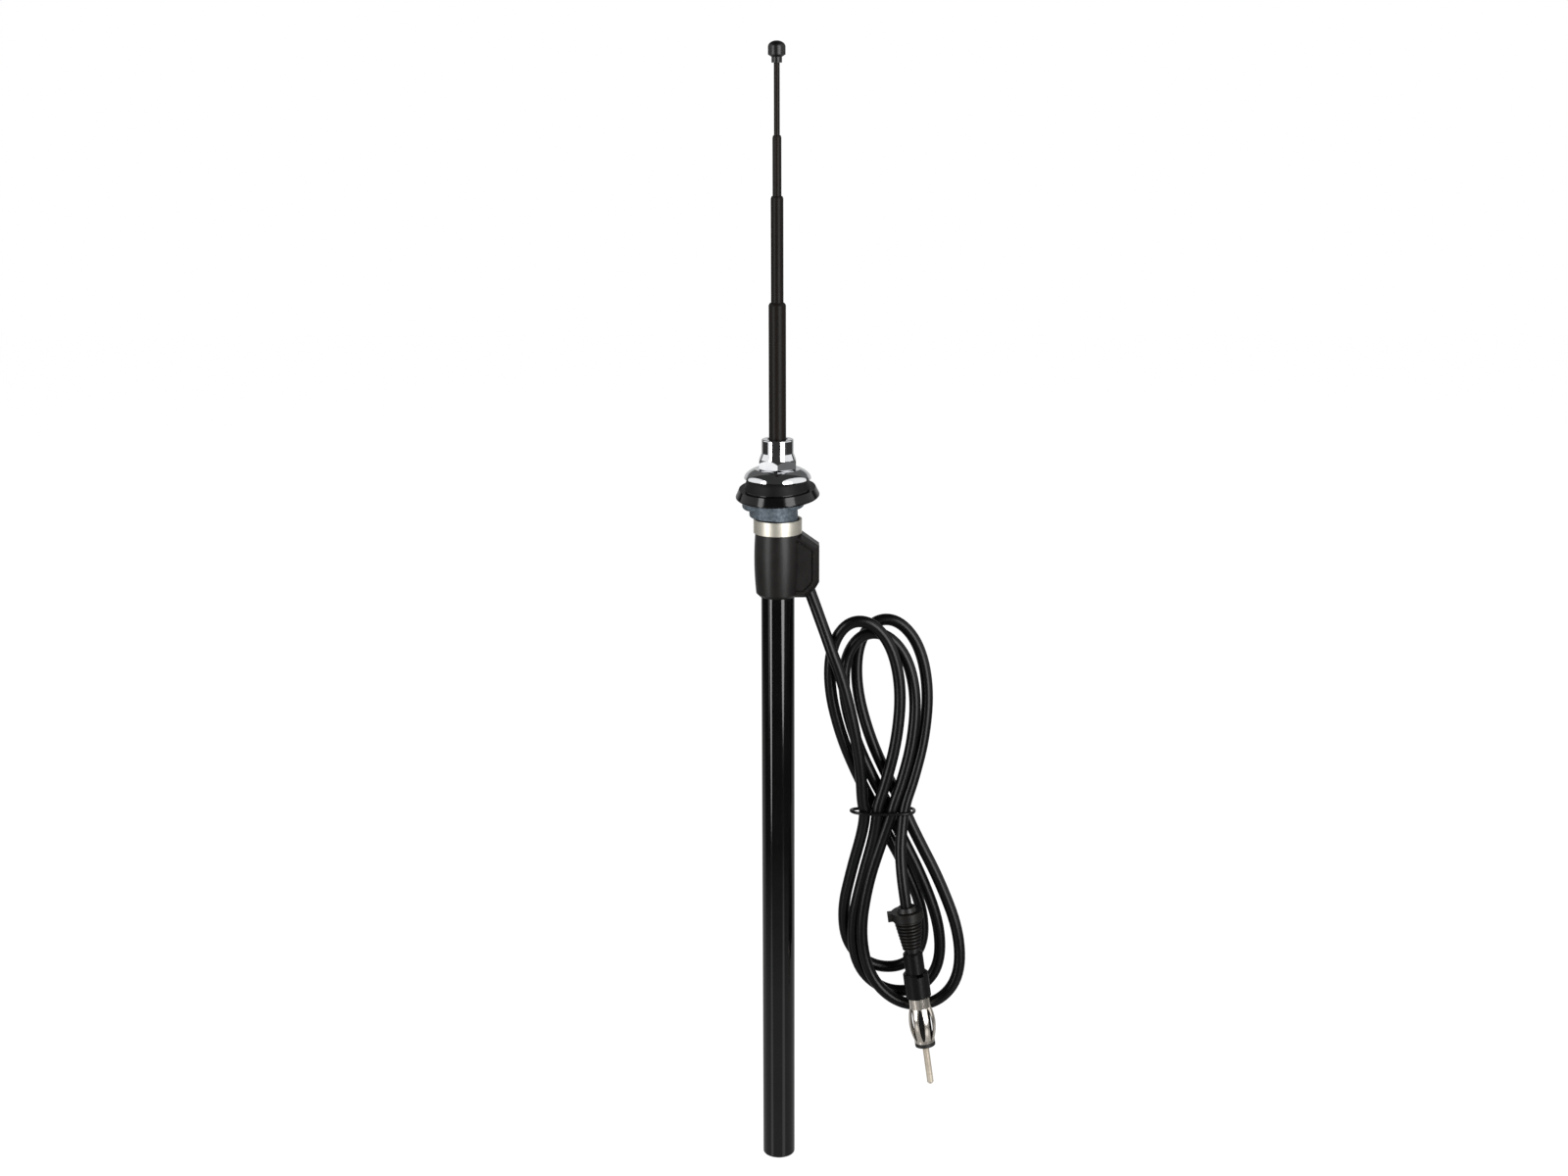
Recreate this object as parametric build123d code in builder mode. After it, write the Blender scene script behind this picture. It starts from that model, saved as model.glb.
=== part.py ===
from build123d import *
from math import acos, asin, cos, degrees, hypot, radians, sin, sqrt, tan
import os

# Telescopic car mast aerial for a body panel, with its lead and aerial plug.
# Millimetres. The origin is the middle of the panel hole on the panel's outer skin,
# +Z runs up the mast, +X points to the lead and -Y to the front.

# Clearances
fit_gap = 0.1  # radial, between pieces that are fitted together
slide_gap = 0.15  # radial, between pieces that slide in each other
seat_gap = 0.25  # across the ball seats of the head
stop_gap = 0.3  # left at the end of each mast section's travel

# Mast sections, from the tip down
tip_rod_diameter = 2.35
tube_2_diameter = 3.6
tube_3_diameter = 5.1
tube_4_diameter = 7.1
tube_2_wall = 0.3
tube_3_wall = 0.35
tube_4_wall = 0.4
section_over = 7.1  # thickest section longer than the housing tube
section_step = 8.0  # each section shorter than the one round it
rod_step = 10.0  # tip rod shorter than the section round it
swage_length = 2.6  # necked top of a tube
swage_shoulder = 1.1  # height of the rounded shoulder on it
slider_length = 9.0
slider_floor = 0.8
slider_bore = 1.2  # drain hole in a slider's floor
foot_length = 11.0
foot_floor = 1.2

# How far each section stands out of the one below
tip_rod_out = 28.0
tube_2_out = 23.8
tube_3_out = 42.6
tube_4_out = 55.9
nested_step = 1.0  # left standing out when a section is pushed home

# Tip button
button_diameter = 7.0
button_neck_diameter = 4.2
button_neck = 2.2
button_height = 8.5
button_taper = 0.9
button_crown = 2.4
button_flat_diameter = 0.8  # on the top of the crown
button_socket = 5.0

# Chrome nut and its bush
nut_top = 24.2
nut_seat = 11.9
nut_across_flats = 15.2
nut_hex_height = 4.0
nut_hex_bevel = 1.3
nut_collar_diameter = 13.3
nut_collar_straight = 5.8
nut_edge = 0.5
bush_wall = 0.4
bush_flange = 1.2
bush_recess = 0.3  # bush end below the nut's top
bush_tail = 9.5  # bush below the flange
stem_diameter = 10.0
stem_engagement = 4.5  # stem inside the nut

# Dome over the pad
dome_lip = 1.13  # width of the rim outside the ball seat
dome_rim = 7.8  # height of the rim over the panel
dome_crown = 5.7
dome_roof = 1.5  # roof thickness under the nut

# Base pad and claw, which sit square on the panel and lean with it
clamp_tilt = 2.2  # to the left
clamp_nod = 5.5  # to the front
clamp_lean = 8.0  # most that the mast leans from square on the panel
pad_diameter = 34.8
pad_edge = 0.8
pad_flange_height = 3.9
pad_flange_top_diameter = 31.9
pad_cone_base_diameter = 27.8
pad_cone_top_diameter = 25.2
pad_cone_height = 7.6
pad_lip_width = 1.8
pad_lip_height = 0.6
pad_foot_edge = 0.4
lean_room = 1.6  # radial room round the stem for the lean
panel_gap = 1.0
claw_offset = -2.0
claw_diameter = 20.2
claw_underside = 7.5
claw_reach = 25.8
claw_width = 15.0
claw_lug_height = 2.6
claw_tooth_pitch = 2.0
claw_tooth_depth = 0.7
claw_tooth_rows = 3  # on each lug

# Plated cup under the claw
cup_diameter = 20.2
cup_top = -9.3
cup_height = 5.8
cup_wall = 1.0
cup_floor = 1.2
cup_lead_in = 0.3

# Stem foot, housing tube and what it holds
tube_diameter = 14.0
tube_wall = 0.8
tube_length = 284.9
tube_edge = 0.5  # rolled lower edge
stem_foot_length = 8.0
feed_length = 14.0
feed_wall = 1.2
feed_end = 2.0
spring_wall = 0.35
spring_ring = 1.0
spring_slots = 6
spring_slot_width = 0.9
tab_width = 2.0
tab_thickness = 0.4
tab_room = 0.5
liner_wall = 0.8
end_plug_height = 8.0
end_plug_drain = 3.0

# Rubber sleeve with its side box
sleeve_length = 27.2
sleeve_top_diameter = 18.8
sleeve_belly_diameter = 19.7
sleeve_bottom_diameter = 18.2
sleeve_edge = 1.3
box_reach = 17.3
box_top_in = 10.0  # where the sloping top starts, from the axis
box_slope = 5.2
box_drop = 20.6  # where the lower bevel starts, below the sleeve's top
box_corner = 2.6
box_corner_in = 1.5
box_foot_in = 11.6
box_half_depth = 5.2
box_bevel = 1.6
panel_margin = 3.6
panel_proud = 0.3
panel_groove = 0.9  # width of the groove round the panel
panel_groove_depth = 0.7

# Lead
cable_diameter = 4.9
lead_route = [
    (11.8, 0.0, -36.1),
    (14.9, 0.0, -44.5),
    (17.7, -1.6, -52.2),
    (20.4, -3.5, -59.4),
    (22.9, -4.6, -66.6),
]
hank_half_depth = 5.4
hank_outline = [
    (57.8, -138.5),
    (66.9, -87.0),
    (50.5, -50.4),
    (31.0, -52.2),
    (19.3, -78.0),
    (32.9, -138.5),
    (25.4, -188.0),
    (38.0, -220.0),
    (58.0, -231.2),
    (83.2, -202.0),
]
hank_upper_eye = [(45.2, -115.0), (37.2, -83.0), (43.0, -62.5), (49.2, -83.0)]
hank_lower_eye = [(47.4, -154.0), (40.2, -191.0), (49.0, -208.0), (61.8, -191.0)]
tie_height = -138.5
tie_diameter = 1.6
tie_corner = 3.0
tie_room = 0.8  # between the tie and the hank

# Aerial plug, measured along its own axis from the top of the grommet's flange
plug_start = (55.3, -10.9, -179.7)
plug_tip = (66.5, -14.0, -258.6)
tail_start = [(53.9, -4.4, -143.0), (53.2, -6.7, -153.5), (53.8, -8.9, -164.5)]
tail_lead_in = 4.0  # straight lead above the grommet
tail_depth = 5.0  # lead inside the boot
grommet_flange_diameter = 13.8
grommet_flange = 3.6
grommet_top_diameter = 12.2
grommet_end_diameter = 8.2
grommet_length = 19.0
grommet_hub_diameter = 8.8
grommet_hub = 1.8  # stands over the flange
grommet_hub_taper = 0.7
grommet_ribs = 9
grommet_groove = 0.9
grommet_neck = 1.4  # plain end next to the boot
grommet_neck_diameter = 6.2
grommet_lug_reach = 8.6
grommet_lug_width = 4.0
boot_top_diameter = 8.6
boot_top_length = 9.4
boot_diameter = 11.0
boot_length = 11.1
boot_edge = 0.6
boot_notch_width = 3.0
boot_notch_depth = 1.1
boot_notch_turn = 20.0  # from the front towards the right
boot_socket = 6.0
shell_barrel_diameter = 9.1
shell_barrel = 5.0  # barrel that shows between the boot and the belly
shell_belly_diameter = 11.6
shell_belly = 15.0
shell_mouth_diameter = 8.9
shell_mouth = 1.2
shell_wall = 0.6
shell_slots = 8
shell_slot_width = 2.3
shell_slot_turn = -5.0  # of the front slot, from the front
insulator_face = 1.8
insulator_depth = 16.0  # core inside the shell's leaves
pin_diameter = 2.8
pin_out = 18.2
pin_tail = 12.0
pin_tail_diameter = 2.0  # inside the insulator

# Places that follow from the sizes
stem_radius = stem_diameter / 2
mast_radius = tube_4_diameter / 2
tube_radius = tube_diameter / 2
tube_bore = tube_radius - tube_wall
cable_radius = cable_diameter / 2
bush_inner = mast_radius + slide_gap
bush_outer = bush_inner + bush_wall
stem_bore = bush_outer + fit_gap
stem_top = nut_seat + stem_engagement
cup_bottom = cup_top - cup_height
foot_bottom = cup_bottom - stem_foot_length
feed_bottom = foot_bottom - feed_length
tube_bottom = cup_bottom - tube_length
tube_4_length = tube_length + section_over
tube_3_length = tube_4_length - section_step
tube_2_length = tube_3_length - section_step
tip_rod_length = tube_2_length - rod_step
plug_top = tube_bottom + end_plug_height
tube_4_top = nut_top + tube_4_out
tube_3_top = tube_4_top + tube_3_out
tube_2_top = tube_3_top + tube_2_out
button_base = tube_2_top + tip_rod_out
clamp_bore = stem_radius + lean_room
pad_ball = hypot(pad_cone_top_diameter / 2, pad_cone_height)
dome_ball = pad_ball + seat_gap
dome_ceiling = nut_seat - dome_roof
claw_ball = hypot(cup_diameter / 2 - cup_wall, cup_top) - seat_gap

# The pad and the claw share a frame that leans with the panel
clamp_up = Vector(0, 0, 1).rotate(Axis.X, clamp_nod).rotate(Axis.Y, -clamp_tilt)
clamp_across = Vector(1, 0, 0).rotate(Axis.Y, -clamp_tilt)
clamp_axis = Axis((0, 0, 0), clamp_up)
clamp_plane = Plane((0, 0, 0), x_dir=clamp_across, z_dir=clamp_up)
clamp_section = Plane((0, 0, 0), x_dir=clamp_across, z_dir=clamp_across.cross(clamp_up))

# The plug's own frame: y of plug_section runs along the plug towards its pin
plug_direction = (Vector(plug_tip) - Vector(plug_start)).normalized()
plug_axis = Axis(plug_start, plug_direction)
plug_across = Vector(0, -1, 0).cross(plug_direction).normalized()
plug_section = Plane(plug_start, x_dir=plug_across, z_dir=plug_across.cross(plug_direction))


def plug_side(along, turn):
    # a plane on the plug's axis that faces out at an angle from the front, with x along the plug
    front = plug_section.z_dir * -cos(radians(turn))
    return Plane(
        Vector(plug_start) + plug_direction * along,
        x_dir=plug_direction,
        z_dir=front + plug_across * sin(radians(turn)),
    )


os.makedirs("parts", exist_ok=True)


def finish(piece, name):
    piece.part.label = name
    export_step(piece.part, f"parts/{name}.step")


def turned(points, plane=Plane.XZ, axis=Axis.Z):
    with BuildPart() as piece:
        with BuildSketch(plane):
            with BuildLine():
                Polyline(*points, close=True)
            make_face()
        revolve(axis=axis)
    return piece


def mast_tube(diameter, wall, inner_diameter, top, length):
    outer = diameter / 2
    neck = inner_diameter / 2 + slide_gap
    bottom = top - length
    with BuildPart() as tube:
        with BuildSketch(Plane.XZ):
            with BuildLine():
                Line((outer - wall, bottom), (outer, bottom))
                Line((outer, bottom), (outer, top - swage_shoulder))
                SagittaArc((outer, top - swage_shoulder), (neck + wall / 2, top), -wall / 4)
                Line((neck + wall / 2, top), (neck, top))
                Line((neck, top), (neck, top - swage_length))
                Line((neck, top - swage_length), (outer - wall, top - swage_length - wall))
                Line((outer - wall, top - swage_length - wall), (outer - wall, bottom))
            make_face()
        revolve(axis=Axis.Z)
    return tube


def end_collar(inner, outer, seat, length, floor, bore):
    # a ferrule round the lower end of a section, whose floor the section stands on
    return turned(
        [
            (bore, seat - floor),
            (outer, seat - floor),
            (outer, seat - floor + length),
            (inner + fit_gap, seat - floor + length),
            (inner + fit_gap, seat),
            (bore, seat),
        ]
    )


# Tip button
button_radius = button_diameter / 2
button_top = button_base + button_height
neck_radius = button_neck_diameter / 2
crown_arc = degrees(acos(button_flat_diameter / button_diameter))
rod_hole = tip_rod_diameter / 2 + fit_gap
rod_seat = button_base + button_socket
with BuildPart() as tip_button:
    with BuildSketch(Plane.XZ):
        with BuildLine():
            crown = EllipticalCenterArc(
                (0, button_top - button_crown), button_radius, button_crown, start_angle=0, arc_size=crown_arc
            )
            flat = crown @ 1
            Polyline(
                flat,
                (0, flat.Y),
                (0, rod_seat),
                (rod_hole, rod_seat),
                (rod_hole, button_base),
                (neck_radius, button_base),
                (neck_radius, button_base + button_neck),
                (button_radius, button_base + button_neck + button_taper),
                crown @ 0,
            )
        make_face()
    revolve(axis=Axis.Z)
finish(tip_button, "tip_button")

# Mast sections with their collars
rod_bottom = rod_seat - tip_rod_length
tip_rod = turned(
    [(0, rod_bottom), (tip_rod_diameter / 2, rod_bottom), (tip_rod_diameter / 2, rod_seat), (0, rod_seat)]
)
finish(tip_rod, "tip_rod")

mast_tube_2 = mast_tube(tube_2_diameter, tube_2_wall, tip_rod_diameter, tube_2_top, tube_2_length)
finish(mast_tube_2, "mast_tube_2")

mast_tube_3 = mast_tube(tube_3_diameter, tube_3_wall, tube_2_diameter, tube_3_top, tube_3_length)
finish(mast_tube_3, "mast_tube_3")

mast_tube_4 = mast_tube(tube_4_diameter, tube_4_wall, tube_3_diameter, tube_4_top, tube_4_length)
finish(mast_tube_4, "mast_tube_4")

tip_slider_radius = tube_2_diameter / 2 - tube_2_wall - slide_gap
tip_slider = end_collar(
    tip_rod_diameter / 2, tip_slider_radius, rod_bottom, slider_length, slider_floor, slider_bore / 2
)
finish(tip_slider, "tip_slider")

tube_2_bottom = tube_2_top - tube_2_length
slider_2_radius = tube_3_diameter / 2 - tube_3_wall - slide_gap
slider_2 = end_collar(
    tube_2_diameter / 2, slider_2_radius, tube_2_bottom, slider_length, slider_floor, slider_bore / 2
)
finish(slider_2, "slider_2")

tube_3_bottom = tube_3_top - tube_3_length
slider_3_radius = tube_4_diameter / 2 - tube_4_wall - slide_gap
slider_3 = end_collar(
    tube_3_diameter / 2, slider_3_radius, tube_3_bottom, slider_length, slider_floor, slider_bore / 2
)
finish(slider_3, "slider_3")

liner_outer = tube_bore - fit_gap
liner_inner = liner_outer - liner_wall
tube_4_bottom = tube_4_top - tube_4_length
mast_foot = end_collar(
    mast_radius, liner_inner - slide_gap, tube_4_bottom, foot_length, foot_floor, slider_bore / 2
)
finish(mast_foot, "mast_foot")

# Chrome nut: a hex with bevelled corners under a round collar
hex_flat = nut_across_flats / 2
hex_corner = hex_flat / cos(radians(30))
hex_top = nut_seat + nut_hex_height
collar_radius = nut_collar_diameter / 2
collar_foot = nut_top - nut_collar_straight
bush_seat = stem_top + bush_flange
with BuildPart() as clamp_nut:
    with BuildSketch(Plane.XY.offset(nut_seat)):
        RegularPolygon(hex_flat, 6, major_radius=False, rotation=30)
    extrude(amount=nut_hex_height)
    with BuildSketch(Plane.XZ):
        with BuildLine():
            Polyline(
                (0, nut_seat),
                (hex_flat, nut_seat),
                (hex_corner, nut_seat + nut_hex_bevel / 2),
                (hex_corner, hex_top - nut_hex_bevel),
                (hex_flat, hex_top),
                (0, hex_top),
                close=True,
            )
        make_face()
    revolve(axis=Axis.Z, mode=Mode.INTERSECT)
    with BuildSketch(Plane.XZ):
        with BuildLine():
            Polyline(
                (0, hex_top),
                (hex_flat, hex_top),
                (collar_radius, collar_foot),
                (collar_radius, nut_top),
                (0, nut_top),
                close=True,
            )
        make_face()
    revolve(axis=Axis.Z)
    fillet(clamp_nut.edges().group_by(Axis.Z)[-1], nut_edge)
    with BuildSketch(Plane.XZ):
        with BuildLine():
            Polyline(
                (0, nut_seat),
                (stem_radius + fit_gap, nut_seat),
                (stem_radius + fit_gap, bush_seat),
                (stem_bore, bush_seat),
                (stem_bore, nut_top),
                (0, nut_top),
                close=True,
            )
        make_face()
    revolve(axis=Axis.Z, mode=Mode.SUBTRACT)
finish(clamp_nut, "clamp_nut")

bush_bottom = stem_top - bush_tail
guide_bush = turned(
    [
        (bush_inner, bush_bottom),
        (bush_outer, bush_bottom),
        (bush_outer, stem_top),
        (stem_radius, stem_top),
        (stem_radius, bush_seat),
        (bush_outer, bush_seat),
        (bush_outer, nut_top - bush_recess),
        (bush_inner, nut_top - bush_recess),
    ]
)
finish(guide_bush, "guide_bush")

# Threaded stem: the nut pulls it up, and its foot carries the cup and the housing tube
stem = turned(
    [
        (stem_bore, foot_bottom),
        (tube_bore - fit_gap, foot_bottom),
        (tube_bore - fit_gap, cup_bottom),
        (stem_radius, cup_bottom),
        (stem_radius, stem_top),
        (stem_bore, stem_top),
    ]
)
finish(stem, "stem")

# Chrome dome, hollowed to a ball seat
dome_radius = sqrt(dome_ball**2 - dome_rim**2) + dome_lip
crown_angle = degrees(asin((nut_seat - dome_rim) / dome_crown))
rim_angle = degrees(asin(dome_rim / dome_ball))
ceiling_angle = degrees(asin(dome_ceiling / dome_ball))
with BuildPart() as dome:
    with BuildSketch(Plane.XZ):
        with BuildLine():
            crown = EllipticalCenterArc((0, dome_rim), dome_radius, dome_crown, start_angle=0, arc_size=crown_angle)
            seat = CenterArc((0, 0), dome_ball, rim_angle, ceiling_angle - rim_angle)
            Line(crown @ 0, seat @ 0)
            Polyline(
                seat @ 1,
                (stem_radius + fit_gap, dome_ceiling),
                (stem_radius + fit_gap, nut_seat),
                crown @ 1,
            )
        make_face()
    revolve(axis=Axis.Z)
finish(dome, "dome")

# Base pad: sealing lip, flange, cone and a ball crown under the dome
pad_radius = pad_diameter / 2
lip_inner = pad_radius - pad_foot_edge - pad_lip_width
pad_top = pad_ball * sin(asin(dome_ceiling / dome_ball) - radians(clamp_lean))
pad_cone_angle = degrees(asin(pad_cone_height / pad_ball))
pad_top_angle = degrees(asin(pad_top / pad_ball))
with BuildPart() as base_pad:
    with BuildSketch(clamp_section):
        with BuildLine():
            ball = CenterArc((0, 0), pad_ball, pad_cone_angle, pad_top_angle - pad_cone_angle)
            Polyline(
                ball @ 1,
                (clamp_bore, pad_top),
                (clamp_bore, pad_lip_height),
                (lip_inner, pad_lip_height),
                (lip_inner, 0),
                (pad_radius - pad_foot_edge, 0),
                (pad_radius, pad_foot_edge),
                (pad_radius, pad_edge),
                (pad_flange_top_diameter / 2, pad_flange_height),
                (pad_cone_base_diameter / 2, pad_flange_height),
                ball @ 0,
            )
        make_face()
    revolve(axis=clamp_axis)
finish(base_pad, "base_pad")

# Claw: round body with two toothed lugs and a ball underside, set off the axis
ball_edge = sqrt(claw_ball**2 - claw_underside**2)
claw_bottom = sqrt(claw_ball**2 - clamp_bore**2)
with BuildPart() as claw:
    with BuildSketch(clamp_plane.offset(-panel_gap)):
        with Locations((claw_offset, 0)):
            Circle(claw_diameter / 2)
    extrude(amount=panel_gap - claw_bottom)
    with BuildSketch(clamp_plane.offset(-panel_gap)):
        with Locations((claw_offset, 0)):
            Circle(claw_reach / 2)
            Rectangle(claw_reach, claw_width, mode=Mode.INTERSECT)
    extrude(amount=-claw_lug_height)
    with BuildSketch(clamp_section):
        with BuildLine():
            underside = CenterArc(
                (0, 0),
                claw_ball,
                -degrees(asin(claw_bottom / claw_ball)),
                degrees(asin(claw_bottom / claw_ball)) - degrees(asin(claw_underside / claw_ball)),
            )
            Polyline(
                underside @ 1,
                (claw_reach, -claw_underside),
                (claw_reach, 0),
                (clamp_bore, 0),
                underside @ 0,
            )
        make_face()
    revolve(axis=clamp_axis, mode=Mode.INTERSECT)
    tooth_start = claw_reach / 2 - claw_tooth_pitch / 2
    tooth_places = [side * (tooth_start - n * claw_tooth_pitch) for side in (-1, 1) for n in range(claw_tooth_rows)]
    with BuildSketch(clamp_section):
        with Locations(*[(claw_offset + place, -panel_gap) for place in tooth_places]):
            Triangle(a=claw_tooth_pitch * 0.8, b=claw_tooth_depth * 1.6, c=claw_tooth_depth * 1.6, rotation=180)
    extrude(amount=claw_width, both=True, mode=Mode.SUBTRACT)
finish(claw, "claw")

# Plated cup that the claw's ball sits in
cup_radius = cup_diameter / 2
seat_cup = turned(
    [
        (stem_radius + fit_gap, cup_bottom),
        (cup_radius, cup_bottom),
        (cup_radius, cup_top),
        (cup_radius - cup_wall + cup_lead_in, cup_top),
        (cup_radius - cup_wall, cup_top - cup_lead_in),
        (cup_radius - cup_wall, cup_bottom + cup_floor),
        (stem_radius + fit_gap, cup_bottom + cup_floor),
    ]
)
finish(seat_cup, "seat_cup")

# Contact spring and the moulded body that holds it
feed_outer = tube_bore - fit_gap
groove_radius = feed_outer - feed_wall
groove_top = foot_bottom - feed_end
groove_bottom = feed_bottom + feed_end
groove_middle = (groove_top + groove_bottom) / 2
tab_height = groove_bottom + fit_gap + spring_ring / 2
spring_outer = groove_radius - fit_gap
spring_waist = mast_radius + fit_gap
coax_end = Vector(*lead_route[0])
with BuildPart() as contact_spring:
    with BuildSketch(Plane.XZ):
        with BuildLine():
            Polyline(
                (spring_waist + spring_wall, groove_middle),
                (spring_outer, groove_top - fit_gap - spring_ring),
                (spring_outer, groove_top - fit_gap),
                (spring_outer - spring_wall, groove_top - fit_gap),
                (spring_outer - spring_wall, groove_top - fit_gap - spring_ring),
                (spring_waist, groove_middle),
                (spring_outer - spring_wall, groove_bottom + fit_gap + spring_ring),
                (spring_outer - spring_wall, groove_bottom + fit_gap),
                (spring_outer, groove_bottom + fit_gap),
                (spring_outer, groove_bottom + fit_gap + spring_ring),
                close=True,
            )
        make_face()
    revolve(axis=Axis.Z)
    slot_height = groove_top - groove_bottom - 2 * (fit_gap + spring_ring)
    with BuildSketch(Plane.XY.offset(groove_middle - slot_height / 2)):
        with PolarLocations(spring_outer / 2, spring_slots, start_angle=180 / spring_slots):
            Rectangle(spring_outer * 1.2, spring_slot_width)
    extrude(amount=slot_height, mode=Mode.SUBTRACT)
    with BuildSketch(Plane.XY.offset(tab_height - tab_thickness / 2)):
        with Locations((spring_outer - spring_wall, 0)):
            Rectangle(coax_end.X - spring_outer + spring_wall, tab_width, align=(Align.MIN, Align.CENTER))
    extrude(amount=tab_thickness)
finish(contact_spring, "contact_spring")

channel_width = tab_width + 2 * tab_room
channel_height = tab_thickness + 2 * tab_room
with BuildPart() as feed_insulator:
    with BuildSketch(Plane.XZ):
        with BuildLine():
            Polyline(
                (bush_inner, feed_bottom),
                (feed_outer, feed_bottom),
                (feed_outer, foot_bottom),
                (bush_inner, foot_bottom),
                (bush_inner, groove_top),
                (groove_radius, groove_top),
                (groove_radius, groove_bottom),
                (bush_inner, groove_bottom),
                close=True,
            )
        make_face()
    revolve(axis=Axis.Z)
    with BuildSketch(Plane.YZ):
        with Locations((0, tab_height)):
            Rectangle(channel_width, channel_height)
    extrude(amount=tube_diameter, mode=Mode.SUBTRACT)
finish(feed_insulator, "feed_insulator")

# Housing tube with a window for the contact's tab
with BuildPart() as housing_tube:
    with BuildSketch(Plane.XY.offset(tube_bottom)):
        Circle(tube_radius)
        Circle(tube_bore, mode=Mode.SUBTRACT)
    extrude(amount=tube_length)
    fillet(housing_tube.edges().group_by(Axis.Z)[0].sort_by(SortBy.RADIUS)[-1], tube_edge)
    with BuildSketch(Plane.YZ):
        with Locations((0, tab_height)):
            Rectangle(channel_width, channel_height)
    extrude(amount=tube_diameter, mode=Mode.SUBTRACT)
finish(housing_tube, "housing_tube")

tube_liner = turned(
    [(liner_inner, plug_top), (liner_outer, plug_top), (liner_outer, feed_bottom), (liner_inner, feed_bottom)]
)
finish(tube_liner, "tube_liner")

end_plug = turned(
    [
        (end_plug_drain / 2, tube_bottom),
        (tube_bore - fit_gap, tube_bottom),
        (tube_bore - fit_gap, plug_top),
        (end_plug_drain / 2, plug_top),
    ]
)
finish(end_plug, "end_plug")

# Rubber sleeve: a barrel over the tube with a bevelled box for the lead
sleeve_bottom = cup_bottom - sleeve_length
lead_direction = Vector(*lead_route[1]) - coax_end
lead_plane = Plane(coax_end, x_dir=(0, 1, 0), z_dir=lead_direction)
box_points = [
    (0, cup_bottom),
    (box_top_in, cup_bottom),
    (box_reach, cup_bottom - box_slope),
    (box_reach, cup_bottom - box_drop),
    (box_reach - box_corner_in, cup_bottom - box_drop - box_corner),
    (box_foot_in, sleeve_bottom),
    (0, sleeve_bottom),
]
with BuildPart() as cable_sleeve:
    with BuildSketch(Plane.XZ):
        with BuildLine():
            Polyline(*box_points, close=True)
        make_face()
    extrude(amount=box_half_depth, both=True)
    chamfer(cable_sleeve.faces().filter_by(Axis.Y).edges(), box_bevel)
    for side in (1, -1):
        with BuildSketch(Plane.XZ.offset(side * (box_half_depth - panel_groove_depth))):
            with BuildLine():
                Polyline(*box_points, close=True)
            make_face()
            offset(amount=panel_groove - panel_margin, kind=Kind.INTERSECTION, mode=Mode.REPLACE)
        extrude(amount=side * box_half_depth, mode=Mode.SUBTRACT)
    with BuildSketch(Plane.XZ) as box_panel:
        with BuildLine():
            Polyline(*box_points, close=True)
        make_face()
        offset(amount=-panel_margin, kind=Kind.INTERSECTION, mode=Mode.REPLACE)
    extrude(amount=box_half_depth + panel_proud, both=True)
    with BuildSketch(Plane.XZ):
        with BuildLine():
            side = ThreePointArc(
                (sleeve_top_diameter / 2, cup_bottom),
                (sleeve_belly_diameter / 2, cup_bottom - sleeve_length * 0.45),
                (sleeve_bottom_diameter / 2, sleeve_bottom + sleeve_edge),
            )
            Polyline(
                side @ 1,
                (sleeve_bottom_diameter / 2 - sleeve_edge, sleeve_bottom),
                (0, sleeve_bottom),
                (0, cup_bottom),
                side @ 0,
            )
        make_face()
    revolve(axis=Axis.Z)
    with BuildSketch(Plane.XY.offset(sleeve_bottom)):
        Circle(tube_radius + fit_gap)
    extrude(amount=sleeve_length, mode=Mode.SUBTRACT)
    with BuildSketch(lead_plane):
        Circle(cable_radius + fit_gap)
    extrude(amount=lead_direction.length * 2, mode=Mode.SUBTRACT)
    with BuildSketch(Plane.YZ):
        with Locations((0, tab_height)):
            Rectangle(channel_width, channel_height)
    extrude(amount=coax_end.X + cable_radius, mode=Mode.SUBTRACT)
finish(cable_sleeve, "cable_sleeve")

# Lead: free stretches as plain tubes, the tied figure-eight as one outline


def cable_tube(points):
    vectors = [Vector(*point) for point in points]
    radii = []
    for before, corner, after in zip(vectors, vectors[1:], vectors[2:]):
        turn = radians((corner - before).get_angle(after - corner))
        shorter = min((corner - before).length, (after - corner).length)
        radii.append(0.45 * shorter / tan(turn / 2))
    with BuildPart() as tube:
        with BuildLine() as path:
            FilletPolyline(*vectors, radius=radii)
        with BuildSketch(Plane(vectors[0], z_dir=vectors[1] - vectors[0])):
            Circle(cable_radius)
        sweep()
    section = cable_radius**2 * 3.14159265
    print("cable radii", [round(radius, 1) for radius in radii])
    print("cable volume over section times length", round(tube.part.volume / section / path.wires()[0].length, 4))
    return tube


cable_lead = cable_tube(lead_route)
finish(cable_lead, "cable_lead")

with BuildPart() as cable_hank:
    with BuildSketch(Plane.XZ.offset(-hank_half_depth)):
        with BuildLine():
            Spline(*hank_outline, periodic=True)
        make_face()
        with BuildLine():
            Spline(*hank_upper_eye, periodic=True)
        make_face(mode=Mode.SUBTRACT)
        with BuildLine():
            Spline(*hank_lower_eye, periodic=True)
        make_face(mode=Mode.SUBTRACT)
    extrude(amount=2 * hank_half_depth)
finish(cable_hank, "cable_hank")

plug_point = Vector(*plug_start)
boot_start = grommet_length
tail_route = tail_start + [
    tuple(plug_point - plug_direction * tail_lead_in),
    tuple(plug_point + plug_direction * (boot_start + tail_depth)),
]
cable_tail = cable_tube(tail_route)
finish(cable_tail, "cable_tail")

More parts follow.
